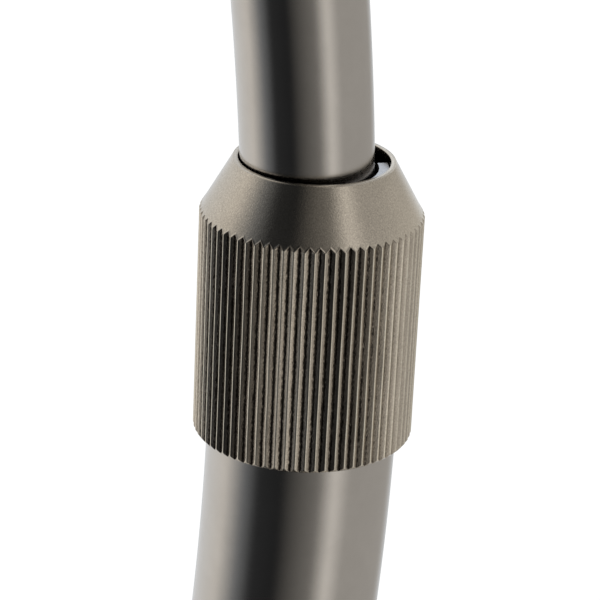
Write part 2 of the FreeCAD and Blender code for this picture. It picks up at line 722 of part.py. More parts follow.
def pad_tee_nuts():
    solids = []
    rear = FLANGE_X - FLANGE_THICK - BOARD_THICK
    for spot in pad_bolt_spots(rear):
        disc = rod(TEE_NUT_R, spot - AHEAD * TEE_NUT_THICK, AHEAD, TEE_NUT_THICK)
        barrel = rod(TEE_BARREL_R, spot, AHEAD, TEE_BARREL_LONG)
        hole = rod(PAD_BOLT_R, spot - AHEAD * CUT_REACH, AHEAD, 2 * CUT_REACH)
        solids.append(disc.fuse(barrel).removeSplitter().cut(hole))
    return group(solids)


def pad_board():
    rear = FLANGE_X - FLANGE_THICK - BOARD_THICK
    return rounded_plate(PAD_HALF_WIDE - COVER_THICK, PAD_HALF_TALL - COVER_THICK, PAD_CORNER_R - COVER_THICK,
                         rear, rear + BOARD_THICK, PAD_CENTRE_Z)


def pad_form(inset, x_front):
    """Pad outline with a rounded striking face, shrunk by inset."""
    solid = rounded_plate(PAD_HALF_WIDE - inset, PAD_HALF_TALL - inset, PAD_CORNER_R - inset,
                          PAD_REAR_X + inset, x_front, PAD_CENTRE_Z)
    rear = [e for e in solid.Edges if all(abs(v.X - PAD_REAR_X - inset) < 0.01 for v in e.Vertexes)]
    return solid.makeFillet(PAD_EDGE_R - inset, rear)


def pad_foam():
    return pad_form(COVER_THICK, FLANGE_X - FLANGE_THICK - BOARD_THICK)


def pad_cover():
    lip_x = FLANGE_X - FLANGE_THICK + COVER_THICK
    outside = pad_form(0, lip_x)
    inside = pad_form(COVER_THICK, lip_x - COVER_THICK)
    window = rounded_plate(COVER_LIP_HALF, COVER_LIP_HALF, FLANGE_CORNER_R, lip_x - COVER_THICK - OVER,
                           lip_x + OVER, PAD_CENTRE_Z)
    return outside.cut([inside, window])


def tack_spots():
    """Tack places along the four straight sides of the cover's folded lip."""
    x = FLANGE_X - FLANGE_THICK + COVER_THICK
    line_z = TACK_LINE - (PAD_HALF_WIDE - PAD_HALF_TALL)
    reach = PAD_HALF_WIDE - PAD_CORNER_R
    spots = []
    for i in range(TACKS_A_SIDE):
        t = -reach + 2 * reach * i / (TACKS_A_SIDE - 1)
        for side in (-1, 1):
            spots.append(FreeCAD.Vector(x, t, PAD_CENTRE_Z + side * line_z))
            spots.append(FreeCAD.Vector(x, side * TACK_LINE, PAD_CENTRE_Z + t))
    return spots


def cover_tacks():
    solids = []
    dome_r = (TACK_HEAD_R ** 2 + TACK_HEAD_TALL ** 2) / (2 * TACK_HEAD_TALL)
    for spot in tack_spots():
        ball = Part.makeSphere(dome_r, spot + AHEAD * (TACK_HEAD_TALL - dome_r))
        half = rod(TACK_HEAD_R + OVER, spot, AHEAD, TACK_HEAD_TALL + OVER)
        shank = rod(TACK_SHANK_R, spot - AHEAD * (TACK_LONG - OVER), AHEAD, TACK_LONG)
        solids.append(ball.common(half).fuse(shank).removeSplitter())
    return group(solids)


# ---- all nodes -------------------------------------------------------------------------------
def build():
    place = collar_place()
    nodes = {
        "outer_tube": outer_tube(),
        "inner_tube": inner_tube(),
        "guide_bush": guide_bush(),
        "bush_pin": bush_pin(),
        "collar": collar(),
        "dust_seal": dust_seal(),
        "thrust_washer": thrust_washer(),
        "ferrule": ferrule(),
        "collet": collet(place),
        "head_body": head_body(),
        "head_base_plate": head_base_plate(),
        "base_screws": base_screws(),
        "main_pin_carrier": carrier(MAIN_CENTRE, MAIN_THICK, main_pin_feet(), MAIN_PIN_R, MAIN_POST_Y),
        "main_pins": main_pins(),
        "nap_pin_carrier": carrier(NAP_CENTRE, NAP_THICK, nap_pin_feet(), NAP_PIN_R, NAP_POST_Y),
        "nap_pins": nap_pins(),
        "guide_posts": guide_posts(),
        "main_dial": dial(MAIN_CENTRE),
        "main_dial_clip": dial_clip(MAIN_CENTRE),
        "nap_dial": dial(NAP_CENTRE),
        "nap_dial_clip": dial_clip(NAP_CENTRE),
        "dial_washers": dial_washers(),
        "head_bolt": head_bolt(),
        "head_nut": head_nut(),
        "pad_bracket": pad_bracket(),
        "bracket_bolt": bracket_bolt(),
        "bracket_nut": bracket_nut(),
        "pad_washers": pad_washers(),
        "pad_bolts": pad_bolts(),
        "pad_tee_nuts": pad_tee_nuts(),
        "pad_board": pad_board(),
        "pad_foam": pad_foam(),
        "pad_cover": pad_cover(),
        "cover_tacks": cover_tacks(),
    }
    for name in ("collar", "dust_seal", "thrust_washer", "ferrule"):
        nodes[name].Placement = place
    bores = {
        "guide_bush": ["bush_pin"],
        "inner_tube": ["bush_pin", "head_bolt"],
        "head_body": ["head_bolt", "guide_posts"],
        "outer_tube": ["bracket_bolt"],
        "pad_bracket": ["bracket_bolt", "pad_bolts"],
        "pad_board": ["pad_bolts", "pad_tee_nuts", "cover_tacks"],
        "pad_foam": ["pad_tee_nuts", "pad_bolts"],
        "pad_cover": ["cover_tacks"],
    }
    for host, guests in bores.items():
        nodes[host] = nodes[host].cut([s for guest in guests for s in nodes[guest].Solids])
    nodes["head_base_plate"] = nodes["head_base_plate"].cut(screw_seats())
    nodes["head_body"] = nodes["head_body"].cut(screw_seats())
    return nodes


def save(nodes):
    os.makedirs("parts", exist_ok=True)
    shift = FreeCAD.Vector(-MIDDLE_X, 0, 0)
    for name, shape in nodes.items():
        moved = shape.copy()
        moved.translate(shift)
        box = moved.BoundBox
        limits = [round(v, 2) for v in (box.XMin, box.XMax, box.YMin, box.YMax, box.ZMin, box.ZMax)]
        volume = round(moved.Volume, 1)
        print(name, "solids", len(moved.Solids), "valid", moved.isValid(), "volume", volume, limits)
        moved.exportStep("parts/" + name + ".step")


save(build())
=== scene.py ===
import bpy
import bmesh
import json
import math
from mathutils import Matrix, Vector
from mathutils.noise import noise as noise_at


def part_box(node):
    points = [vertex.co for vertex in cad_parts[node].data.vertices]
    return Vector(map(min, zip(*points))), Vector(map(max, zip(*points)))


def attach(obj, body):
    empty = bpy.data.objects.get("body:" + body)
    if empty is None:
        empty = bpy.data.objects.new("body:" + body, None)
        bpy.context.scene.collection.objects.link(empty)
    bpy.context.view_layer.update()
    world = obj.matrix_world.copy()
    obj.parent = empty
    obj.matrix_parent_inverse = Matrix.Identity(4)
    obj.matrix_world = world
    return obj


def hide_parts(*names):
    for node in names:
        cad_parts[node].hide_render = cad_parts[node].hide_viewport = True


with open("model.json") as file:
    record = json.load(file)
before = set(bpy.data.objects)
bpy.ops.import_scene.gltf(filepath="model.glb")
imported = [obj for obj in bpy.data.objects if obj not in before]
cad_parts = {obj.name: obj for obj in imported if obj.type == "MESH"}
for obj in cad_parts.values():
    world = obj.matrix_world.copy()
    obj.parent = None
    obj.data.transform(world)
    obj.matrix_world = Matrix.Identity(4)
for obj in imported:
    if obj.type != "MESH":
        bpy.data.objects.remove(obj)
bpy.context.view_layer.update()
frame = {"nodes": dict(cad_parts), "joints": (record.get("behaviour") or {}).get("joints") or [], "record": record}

# Carpet knee kicker in a plain pale studio. Metres, +Z up, +X towards the toothed head.
MM = 0.001
JOINTS = {joint["name"]: joint for joint in frame["joints"]}
ACROSS = Vector((0, 1, 0))

# shaft: the bend's centre comes from the joint that the thin tube slides round
BEND_CENTRE = Vector(JOINTS["length_adjust"]["pos_m"])
BEND_R = 600 * MM
HEAD_ANGLE = math.radians(19)
PAD_ANGLE = math.radians(-8)
COLLAR_ANGLE = math.radians(5)
BUSH_ANGLE = math.radians(-4.6)
SOCKET_STRAIGHT = 42 * MM
MOUTH_STRAIGHT = 11 * MM
TUBE_WALL = 1.5 * MM
TUBE_RIM = 0.25 * MM
TUBE_STEP = 2.5 * MM
TUBE_SIDES = 192

# collar: its axis and bottom rim come from the joint that it turns on
COLLAR_AXIS = Vector(JOINTS["collar_turn"]["axis"]).normalized()
COLLAR_FOOT = Vector(JOINTS["collar_turn"]["pos_m"])
COLLAR_SIDE = COLLAR_AXIS.cross(ACROSS)

COLLAR_R = 18.5 * MM
COLLAR_BODY = 38.6 * MM
COLLAR_TALL = 47.95 * MM
RIM_R = 13.27 * MM
OPENING_R = 12.43 * MM
SHOULDER_AT = 41.1 * MM
BORE_R = 16.06 * MM
ENTRY_R = 16.3 * MM
ENTRY_DEEP = 8 * MM
FLUTES = 70
FLUTE_DEPTH = 0.42 * MM
FLUTE_PHASE = 0.44
PLAIN_SHADE = 0.15
POINTS_A_FLUTE = 20
CREST_ROUND = 0.07
EDGE_SOFT = 0.03 * MM
WANDER = 0.035
WANDER_LONG = 9 * MM
UNEVEN = 0.10
UNEVEN_LONG = 6 * MM
NICK = 0.025 * MM
NICK_LONG = 0.4 * MM
FOOT_EDGE = 0.6 * MM
FOOT_EDGE_SLOPE = 0.8
BODY_CLEAR = 1 * MM
RIM_ROUND = 0.12 * MM
TEAR_STRETCH = 4
# painted shade on the collar: fades from this share of its radius above the axis, leaving this much at the top
SHADE_FADE_FROM = 0.4
SHADE_LEFT_ON_TOP = 0.25
# painted shade on the collet: full below this height above the collar's axis, gone above this one
GAP_SHADE_FULL_BELOW = 3 * MM
GAP_SHADE_GONE_ABOVE = 8 * MM
BURR = 0.07 * MM
BURR_WIDE = 0.09 * MM

# knee pad: a leather cover over foam, sewn with piping round its front and tacked behind its board
PAD_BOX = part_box("pad_cover")
BOARD_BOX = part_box("pad_board")
PAD_CORNER = 26 * MM
PAD_WINDOW_CORNER = 12 * MM
PAD_LIP = 14 * MM
PAD_SEAM_X = -239 * MM
PAD_SEAM_INSET = 3.4 * MM
PAD_SAG = 1.3 * MM
PAD_CROWN = 14 * MM
PAD_RINGS = 34
PUCKER = 0.45 * MM
PUCKER_LONG = 7 * MM
CROWN_POWER = 2.6
GATHER_POWER = 16
PAD_CORNER_MOST = 0.8
PIPING_SIDES = 12
PIPING_R = 1.9 * MM
PIPING_AHEAD = 0.3 * MM
STITCH_LONG = 2.6 * MM
STITCH_GAP = 1.1 * MM
THREAD_R = 0.3 * MM
STITCH_STEPS = 6
STITCH_RINGS = 2
STITCH_LIFT = 0.1 * MM
STITCH_SINK = 0.5
THREAD_SIDES = 6
THREAD_END = 0.35

# camera: looks down the collar by VIEW_TILT from square on, with the head end up in the picture
VIEW_TILT = math.radians(22.83)
VIEW_ROLL = math.radians(2.655)
VIEW_DISTANCE = 431.0 * MM
VIEW_RIGHT = 0.32 * MM
VIEW_DOWN = 21.13 * MM
CAMERA_LENS = 152.6

# studio: the floor lies low enough for the head to stay above it at the shaft's full length
FLOOR_DROP = 45 * MM
FLOOR_HALF = 6
FLOOR_GLOW = 0.8
BACKDROP_GLOW = 1.05


# ---- mesh and shader helpers ------------------------------------------------------------------
def make_object(name, mesh, material, body):
    """Puts a mesh in the scene as a piece of the tool."""
    piece = bpy.data.objects.new(name, mesh)
    bpy.context.scene.collection.objects.link(piece)
    mesh.materials.clear()
    mesh.materials.append(material)
    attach(piece, body)
    return piece


def smooth(mesh):
    for polygon in mesh.polygons:
        polygon.use_smooth = True
    return mesh


def loop_mesh(name, rings):
    """Closed mesh through rings of points; the last ring joins the first."""
    mesh = bpy.data.meshes.new(name)
    count = len(rings[0])
    points = [p for ring in rings for p in ring]
    faces = []
    for i in range(len(rings)):
        a, b = i * count, ((i + 1) % len(rings)) * count
        for k in range(count):
            n = (k + 1) % count
            faces.append((a + k, a + n, b + n, b + k))
    mesh.from_pydata(points, [], faces)
    mesh.update()
    return smooth(mesh)


def new_material(name):
    material = bpy.data.materials.new(name)
    material.use_nodes = True
    nodes = material.node_tree.nodes
    return material, nodes, material.node_tree.links, nodes["Principled BSDF"]


def add_node(nodes, kind, **inputs):
    """Shader node with its input values set by name; spaces in names are written as _."""
    node = nodes.new(kind)
    for key, value in inputs.items():
        node.inputs[key.replace("_", " ")].default_value = value
    return node


def object_point(nodes, links, stretch=(1, 1, 1)):
    """Texture place in metres in the tool's own frame, drawn out along the axes with a stretch under 1."""
    place = nodes.new("ShaderNodeTexCoord")
    mapping = nodes.new("ShaderNodeMapping")
    mapping.inputs["Scale"].default_value = stretch
    links.new(place.outputs["Object"], mapping.inputs["Vector"])
    return mapping.outputs["Vector"]


def noise(nodes, links, vector, scale, detail=3.0, roughness=0.5):
    node = add_node(nodes, "ShaderNodeTexNoise", Scale=scale, Detail=detail, Roughness=roughness)
    links.new(vector, node.inputs["Vector"])
    return node.outputs["Fac"]


def ramp(nodes, links, value, stops):
    """Colour ramp from (position, colour) stops."""
    node = nodes.new("ShaderNodeValToRGB")
    elements = node.color_ramp.elements
    while len(elements) < len(stops):
        elements.new(0.5)
    for element, (position, colour) in zip(elements, stops):
        element.position = position
        element.color = (*colour, 1)
    links.new(value, node.inputs["Fac"])
    return node.outputs["Color"]


def bump(nodes, links, height, strength, distance, normal=None):
    node = add_node(nodes, "ShaderNodeBump", Strength=strength, Distance=distance)
    links.new(height, node.inputs["Height"])
    if normal is not None:
        links.new(normal, node.inputs["Normal"])
    return node.outputs["Normal"]


def spread(low, high, value, nodes, links):
    """Maps the middle of a noise value's reach, 0.3 to 0.7, onto low to high."""
    node = add_node(nodes, "ShaderNodeMapRange", From_Min=0.3, From_Max=0.7, To_Min=low, To_Max=high)
    links.new(value, node.inputs["Value"])
    return node.outputs["Result"]


def dot_with(nodes, links, vector, direction):
    """Component of a direction along a fixed one."""
    dot = nodes.new("ShaderNodeVectorMath")
    dot.operation = "DOT_PRODUCT"
    dot.inputs[1].default_value = direction
    links.new(vector, dot.inputs[0])
    return dot.outputs["Value"]


def product(nodes, links, first, second):
    node = nodes.new("ShaderNodeMath")
    node.operation = "MULTIPLY"
    links.new(first, node.inputs[0])
    links.new(second, node.inputs[1])
    return node.outputs["Value"]


def mix_colours(nodes, links, share, first, second):
    mix = nodes.new("ShaderNodeMix")
    mix.data_type = "RGBA"
    links.new(share, mix.inputs[0])
    links.new(first, mix.inputs[6])
    links.new(second, mix.inputs[7])
    return mix.outputs[2]


def multiply_colours(nodes, links, first, second):
    mix = nodes.new("ShaderNodeMix")
    mix.data_type = "RGBA"
    mix.blend_type = "MULTIPLY"
    mix.inputs[0].default_value = 1
    links.new(first, mix.inputs[6])
    links.new(second, mix.inputs[7])
    return mix.outputs[2]


# ---- metals -----------------------------------------------------------------------------------
def brushed_tube():
    """Stainless tube brushed round its girth; the UV map's U runs along the tube."""
    material, nodes, links, shader = new_material("brushed_tube")
    shader.inputs["Metallic"].default_value = 1
    shader.inputs["Anisotropic"].default_value = 0.7
    place = nodes.new("ShaderNodeUVMap")
    stretch = nodes.new("ShaderNodeMapping")
    stretch.inputs["Scale"].default_value = (1, 0.07, 1)
    links.new(place.outputs["UV"], stretch.inputs["Vector"])
    fine = noise(nodes, links, stretch.outputs["Vector"], 8500, 3, 0.7)
    cloud = noise(nodes, links, place.outputs["UV"], 160, 3, 0.6)
    tint = ramp(nodes, links, cloud, [(0.3, (0.62, 0.60, 0.575)), (0.7, (0.66, 0.64, 0.615))])
    links.new(tint, shader.inputs["Base Color"])
    links.new(spread(0.09, 0.18, fine, nodes, links), shader.inputs["Roughness"])
    links.new(bump(nodes, links, fine, 0.8, 0.000016), shader.inputs["Normal"])
    tangent = nodes.new("ShaderNodeTangent")
    tangent.direction_type = "UV_MAP"
    links.new(tangent.outputs["Tangent"], shader.inputs["Tangent"])
    return material


def grained_metal(name, dark, light, rough, grain_mm, depth):
    """Metal with a fine blasted or cast grain."""
    material, nodes, links, shader = new_material(name)
    shader.inputs["Metallic"].default_value = 1
    point = object_point(nodes, links)
    cloud = noise(nodes, links, point, 90, 3)
    grain = noise(nodes, links, point, 1 / (grain_mm * MM), 2, 0.6)
    links.new(ramp(nodes, links, cloud, [(0.3, dark), (0.7, light)]), shader.inputs["Base Color"])
    links.new(spread(rough * 0.85, rough * 1.15, grain, nodes, links), shader.inputs["Roughness"])
    links.new(bump(nodes, links, grain, depth, 0.00005), shader.inputs["Normal"])
    return material


def collar_point(nodes, links, stretch):
    """Texture place in metres along the collar, across it and to its side; a stretch above 1 draws it out."""
    place = nodes.new("ShaderNodeTexCoord").outputs["Object"]
    along = nodes.new("ShaderNodeMath")
    along.operation = "DIVIDE"
    along.inputs[1].default_value = stretch
    links.new(dot_with(nodes, links, place, COLLAR_AXIS), along.inputs[0])
    combine = nodes.new("ShaderNodeCombineXYZ")
    links.new(along.outputs["Value"], combine.inputs[0])
    links.new(dot_with(nodes, links, place, ACROSS), combine.inputs[1])
    links.new(dot_with(nodes, links, place, COLLAR_SIDE), combine.inputs[2])
    return combine.outputs["Vector"]


def satin_nickel():
    """Blasted nickel with torn flute walls; painted shade with some soiling darkens the valleys (attribute valley,
    0 to 1) and a painted highlight brightens the crests.

    The painted shade thins out towards the top of the collar.
    """
    material, nodes, links, shader = new_material("satin_nickel")
    shader.inputs["Metallic"].default_value = 1
    grain_place = collar_point(nodes, links, 1)
    tear_place = collar_point(nodes, links, TEAR_STRETCH)
    grain = noise(nodes, links, grain_place, 4200, 2, 0.6)
    tears = noise(nodes, links, tear_place, 5500, 3, 0.75)
    cloud = noise(nodes, links, grain_place, 150, 4, 0.6)
    speckle = ramp(nodes, links, grain, [(0.3, (0.8, 0.8, 0.8)), (0.7, (1.12, 1.12, 1.12))])
    # valley depth, 1 on the inside faces: where the painted shade goes
    valley = nodes.new("ShaderNodeAttribute")
    valley.attribute_name = "valley"
    ragged = add_node(nodes, "ShaderNodeMapRange", From_Min=0.35, From_Max=0.65, To_Min=0.7, To_Max=1.2)
    links.new(tears, ragged.inputs["Value"])
    # painted shade fades towards the top of the collar
    height = COLLAR_FOOT.dot(COLLAR_SIDE)
    shade_fade = add_node(nodes, "ShaderNodeMapRange", From_Min=height + SHADE_FADE_FROM * COLLAR_R,
                    From_Max=height + COLLAR_R, To_Min=1.0, To_Max=SHADE_LEFT_ON_TOP)
    place = nodes.new("ShaderNodeTexCoord").outputs["Object"]
    links.new(dot_with(nodes, links, place, COLLAR_SIDE), shade_fade.inputs["Value"])
    ragged_valley_shade = product(nodes, links, valley.outputs["Fac"], ragged.outputs["Result"])
    shade_and_grime = product(nodes, links, ragged_valley_shade, shade_fade.outputs["Result"])
    metal = ramp(nodes, links, cloud, [(0.3, (0.61, 0.565, 0.495)), (0.7, (0.67, 0.62, 0.545))])
    # painted highlight along the crests, painted shade with some soiling down into the valleys
    crest_highlight_and_valley_shade = ramp(nodes, links, shade_and_grime, [(0.03, (1.6, 1.6, 1.57)), (0.13, (1, 1, 1)), (0.5, (0.85, 0.82, 0.79)),
                                      (0.75, (0.05, 0.045, 0.04))])
    lit_and_shaded_metal = multiply_colours(nodes, links, metal, crest_highlight_and_valley_shade)
    links.new(multiply_colours(nodes, links, lit_and_shaded_metal, speckle), shader.inputs["Base Color"])
    rough = add_node(nodes, "ShaderNodeMapRange", From_Min=0, From_Max=1, To_Min=0.08, To_Max=0.2)
    links.new(shade_and_grime, rough.inputs["Value"])
    links.new(rough.outputs["Result"], shader.inputs["Roughness"])
    torn = bump(nodes, links, product(nodes, links, tears, valley.outputs["Fac"]), 0.6, 0.00014)
    links.new(bump(nodes, links, grain, 0.4, 0.00002, torn), shader.inputs["Normal"])
    return material


def collet_steel():
    """Turned steel with painted shade low in the gap: near black low down, its plain tone on the high side."""
    material = grained_metal("collet_steel", (0.60, 0.62, 0.66), (0.68, 0.70, 0.74), 0.3, 0.3, 0.2)
    nodes, links = material.node_tree.nodes, material.node_tree.links
    shader = nodes["Principled BSDF"]
    place = nodes.new("ShaderNodeTexCoord").outputs["Object"]
    height = add_node(nodes, "ShaderNodeMapRange", From_Min=COLLAR_FOOT.dot(COLLAR_SIDE) + GAP_SHADE_FULL_BELOW,
                      From_Max=COLLAR_FOOT.dot(COLLAR_SIDE) + GAP_SHADE_GONE_ABOVE)
    links.new(dot_with(nodes, links, place, COLLAR_SIDE), height.inputs["Value"])
    metal = shader.inputs["Base Color"].links[0].from_socket
    # painted shade: the steel's tone darkened to near black and mixed in low in the gap
    gap_shade = ramp(nodes, links, metal, [(0, (0.02, 0.019, 0.018)), (1, (0.05, 0.047, 0.044))])
    links.new(mix_colours(nodes, links, height.outputs["Result"], gap_shade, metal), shader.inputs["Base Color"])
    return material


def plain_surface(name, dark, light, rough, grain_mm, depth):
    """Plastic, rubber, foam or thread with a faint mottle and grain."""
    material = grained_metal(name, dark, light, rough, grain_mm, depth)
    material.node_tree.nodes["Principled BSDF"].inputs["Metallic"].default_value = 0
    return material


def plywood():
    """Birch plywood with its grain drawn out along Z."""
    material, nodes, links, shader = new_material("plywood")
    point = object_point(nodes, links, stretch=(1, 1, 0.08))
    grain = noise(nodes, links, point, 420, 5, 0.7)
    face = ramp(nodes, links, grain, [(0.25, (0.42, 0.26, 0.13)), (0.75, (0.68, 0.49, 0.30))])
    links.new(face, shader.inputs["Base Color"])
    links.new(bump(nodes, links, grain, 0.3, 0.0002), shader.inputs["Normal"])
    shader.inputs["Roughness"].default_value = 0.6
    return material


def leather(name):
    """Black upholstery leather with a pebble grain."""
    material, nodes, links, shader = new_material(name)
    point = object_point(nodes, links)
    cells = add_node(nodes, "ShaderNodeTexVoronoi", Scale=700.0)
    cells.feature = "DISTANCE_TO_EDGE"
    links.new(point, cells.inputs["Vector"])
    creases = ramp(nodes, links, cells.outputs["Distance"], [(0.0, (0, 0, 0)), (0.12, (1, 1, 1))])
    cloud = noise(nodes, links, point, 26, 4)
    links.new(ramp(nodes, links, cloud, [(0.3, (0.012, 0.011, 0.010)), (0.75, (0.034, 0.031, 0.028))]),
              shader.inputs["Base Color"])
    mottle = noise(nodes, links, point, 300, 2)
    links.new(spread(0.34, 0.50, mottle, nodes, links), shader.inputs["Roughness"])
    small = bump(nodes, links, creases, 0.35, 0.0003)
    links.new(bump(nodes, links, cloud, 0.15, 0.001, small), shader.inputs["Normal"])
    return material


# ---- shaft tubes ------------------------------------------------------------------------------
def bend_station(angle):
    """Point, outward side and forward direction on the shaft's line."""
    side = Vector((math.sin(angle), 0, math.cos(angle)))
    forward = Vector((math.cos(angle), 0, -math.sin(angle)))
    return BEND_CENTRE + side * BEND_R, side, forward


def shaft_line(start, end, before, after):
    """Stations along a straight, the bend and a straight, with the distance travelled."""
    stations = []
    point, side, forward = bend_station(start)
    count = max(1, round(before / TUBE_STEP)) if before else 0
    for i in range(count):
        stations.append((point - forward * before * (1 - i / count), side, before * i / count))
    arc = (end - start) * BEND_R
    count = round(arc / TUBE_STEP)
    for i in range(count + 1):
        bent, bent_side, _ = bend_station(start + (end - start) * i / count)
        stations.append((bent, bent_side, before + arc * i / count))
    point, side, forward = bend_station(end)
    count = max(1, round(after / TUBE_STEP)) if after else 0
    for i in range(1, count + 1):
        stations.append((point + forward * after * i / count, side, before + arc + after * i / count))
    return stations


def tube_mesh(name, stations, outer, wall):
    """Tube wall with chamfered rims; UV's U is the distance along the tube in metres."""
    first, last = stations[0], stations[-1]
    middle = [(station, outer) for station in stations[1:-1]]
    forward_first = (stations[1][0] - first[0]).normalized()
    forward_last = (last[0] - stations[-2][0]).normalized()
    outside = [((first[0] + forward_first * TUBE_RIM, first[1], first[2]), outer)] + middle
    outside.append(((last[0] - forward_last * TUBE_RIM, last[1], last[2]), outer))
    inside = [(station, radius - wall) for station, radius in reversed(outside)]
    lip_last = [(last, outer - TUBE_RIM), (last, outer - wall + TUBE_RIM)]
    lip_first = [(first, outer - wall + TUBE_RIM), (first, outer - TUBE_RIM)]
    rings, along = [], []
    for (point, side, travelled), radius in outside + lip_last + inside + lip_first:
        ring = []
        for k in range(TUBE_SIDES):
            a = 2 * math.pi * k / TUBE_SIDES
            ring.append(point + side * (radius * math.cos(a)) + ACROSS * (radius * math.sin(a)))
        rings.append(ring)
        along.append(travelled)
    mesh = loop_mesh(name, rings)
    layer = mesh.uv_layers.new(name="UVMap")
    for polygon in mesh.polygons:
        wrap = any(v % TUBE_SIDES == TUBE_SIDES - 1 for v in polygon.vertices) and \
            any(v % TUBE_SIDES == 0 for v in polygon.vertices)
        for loop in polygon.loop_indices:
            vertex = mesh.loops[loop].vertex_index
            turn = (vertex % TUBE_SIDES) / TUBE_SIDES
            if wrap and turn == 0:
                turn = 1.0
            layer.data[loop].uv = (along[vertex // TUBE_SIDES], turn * 2 * math.pi * outer)
    return mesh


def make_tubes(material):
    outer_r = (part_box("outer_tube")[1].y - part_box("outer_tube")[0].y) / 2
    inner_r = (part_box("inner_tube")[1].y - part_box("inner_tube")[0].y) / 2
    thick = shaft_line(PAD_ANGLE, COLLAR_ANGLE, SOCKET_STRAIGHT, MOUTH_STRAIGHT)
    piece = make_object("thick_tube", tube_mesh("thick_tube", thick, outer_r, TUBE_WALL), material,
                        "handle")
    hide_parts("outer_tube")
    thin = shaft_line(BUSH_ANGLE, HEAD_ANGLE, 0, SOCKET_STRAIGHT)
    piece = make_object("thin_tube", tube_mesh("thin_tube", thin, inner_r, TUBE_WALL), material,
                        "front")
    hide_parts("inner_tube")


# ---- clamping collar --------------------------------------------------------------------------
def collar_envelope(along):
    """Radius that the flutes are cut back to, by distance from the bottom rim; clear of them on the body."""
    if along < FOOT_EDGE:
        return COLLAR_R - (FOOT_EDGE - along) * FOOT_EDGE_SLOPE
    if along <= COLLAR_BODY:
        return COLLAR_R + BODY_CLEAR
    share = (along - COLLAR_BODY) / (COLLAR_TALL - COLLAR_BODY)
    return COLLAR_R + (RIM_R - COLLAR_R) * share


def flute_radius(turns, along):
    """Radius of the fluted bar and how deep in a valley the point is, 0 to 1.

    The bare factors and offsets only keep the noises of the flutes and of each use apart.
    """
    place = turns * FLUTES + FLUTE_PHASE
    number = math.floor(place + 0.5) % FLUTES
    wander = noise_at(Vector((number * 7.3, along / WANDER_LONG, 0.5)))
    shift = place - math.floor(place + 0.5) + WANDER * wander
    from_crest = min(1.0, 2 * abs(shift))
    uneven = 1 + UNEVEN * noise_at(Vector((number * 3.1, along / UNEVEN_LONG, 8.5)))
    full = math.hypot(1, CREST_ROUND) - CREST_ROUND
    deep = (math.hypot(from_crest, CREST_ROUND) - CREST_ROUND) / full
    nick = NICK * noise_at(Vector((number * 5.7, along / NICK_LONG, 3.5)))
    return COLLAR_R - FLUTE_DEPTH * uneven * deep - abs(nick), deep


def collar_stations():
    """Distances along the collar for its rings, from spans of (from, to, steps) in millimetres."""
    body, tall = COLLAR_BODY / MM, COLLAR_TALL / MM
    spans = [(0.0, 1.0, 8), (1.0, body - 0.3, 100), (body - 0.3, body + 1.5, 24),
             (body + 1.5, tall - 0.3, 14), (tall - 0.3, tall, 5)]
    stations = []
    for low, high, steps in spans:
        stations += [(low + (high - low) * i / steps) * MM for i in range(steps)]
    return stations


def collar_mesh():
    """Closed collar: fluted outside, rounded rim, opening, shoulder, bore and entry."""
    count = FLUTES * POINTS_A_FLUTE
    spokes = []
    for k in range(count):
        a = 2 * math.pi * k / count
        spokes.append(-ACROSS * math.cos(a) + COLLAR_SIDE * math.sin(a))
    rings, valleys = [], []
    for along in collar_stations():
        limit = collar_envelope(along)
        ring = []
        for k, spoke in enumerate(spokes):
            radius, deep = flute_radius(k / count, along)
            gap = limit - radius
            soft = (limit + radius - math.hypot(gap, EDGE_SOFT)) / 2
            soft += BURR * math.exp(-(gap / BURR_WIDE) ** 2)
            ring.append(COLLAR_FOOT + COLLAR_AXIS * along + spoke * min(soft, COLLAR_R))
            # the valley depth marks where the painted shade goes; faces cut back to the envelope count as plain
            valleys.append(deep if gap > 0 else PLAIN_SHADE)
        rings.append(ring)
    plain = [
        (RIM_R, COLLAR_TALL - RIM_ROUND), (RIM_R - RIM_ROUND / 2, COLLAR_TALL),
        (OPENING_R + RIM_ROUND / 2, COLLAR_TALL), (OPENING_R, COLLAR_TALL - RIM_ROUND),
        (OPENING_R, SHOULDER_AT), (BORE_R, SHOULDER_AT), (BORE_R, ENTRY_DEEP), (ENTRY_R, ENTRY_DEEP),
        (ENTRY_R, RIM_ROUND), (ENTRY_R + RIM_ROUND, 0),
    ]
    for radius, along in plain:
        rings.append([COLLAR_FOOT + COLLAR_AXIS * along + spoke * radius for spoke in spokes])
        # the opening, shoulder, bore and entry get the full painted shade, the plain outside a little
        inside = radius <= OPENING_R or SHOULDER_AT >= along > RIM_ROUND
        valleys += [1.0 if inside else PLAIN_SHADE] * count
    mesh = loop_mesh("collar_skin", rings)
    layer = mesh.attributes.new("valley", "FLOAT", "POINT")
    layer.data.foreach_set("value", valleys)
    return mesh


def make_collar(material):
    piece = make_object("fluted_collar", collar_mesh(), material, "collar")
    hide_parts("collar")


# ---- knee pad ---------------------------------------------------------------------------------
def rounded_square(half_wide, half_tall, corner, place, sag):
    """Point on a rounded square for a place on its rim in quarter turns; its sides pull in by sag."""
    quarter = math.floor(place) % 4
    share = place - math.floor(place)
    swing = math.radians(90) * share - math.radians(45)
    across, up = (half_wide, half_tall) if quarter % 2 == 0 else (half_tall, half_wide)
    arc = corner * math.radians(45)
    straight = across - corner
    reach = (straight + arc) * math.tan(swing) / math.tan(math.radians(45))
    if abs(reach) <= straight:
        y, z = reach, up - sag * (1 - (reach / straight) ** 2)
    else:
        bend = (abs(reach) - straight) / corner
        y = math.copysign(straight + corner * math.sin(bend), reach)
        z = up - corner * (1 - math.cos(bend))
    for _ in range(quarter):
        y, z = z, -y
    return y, z


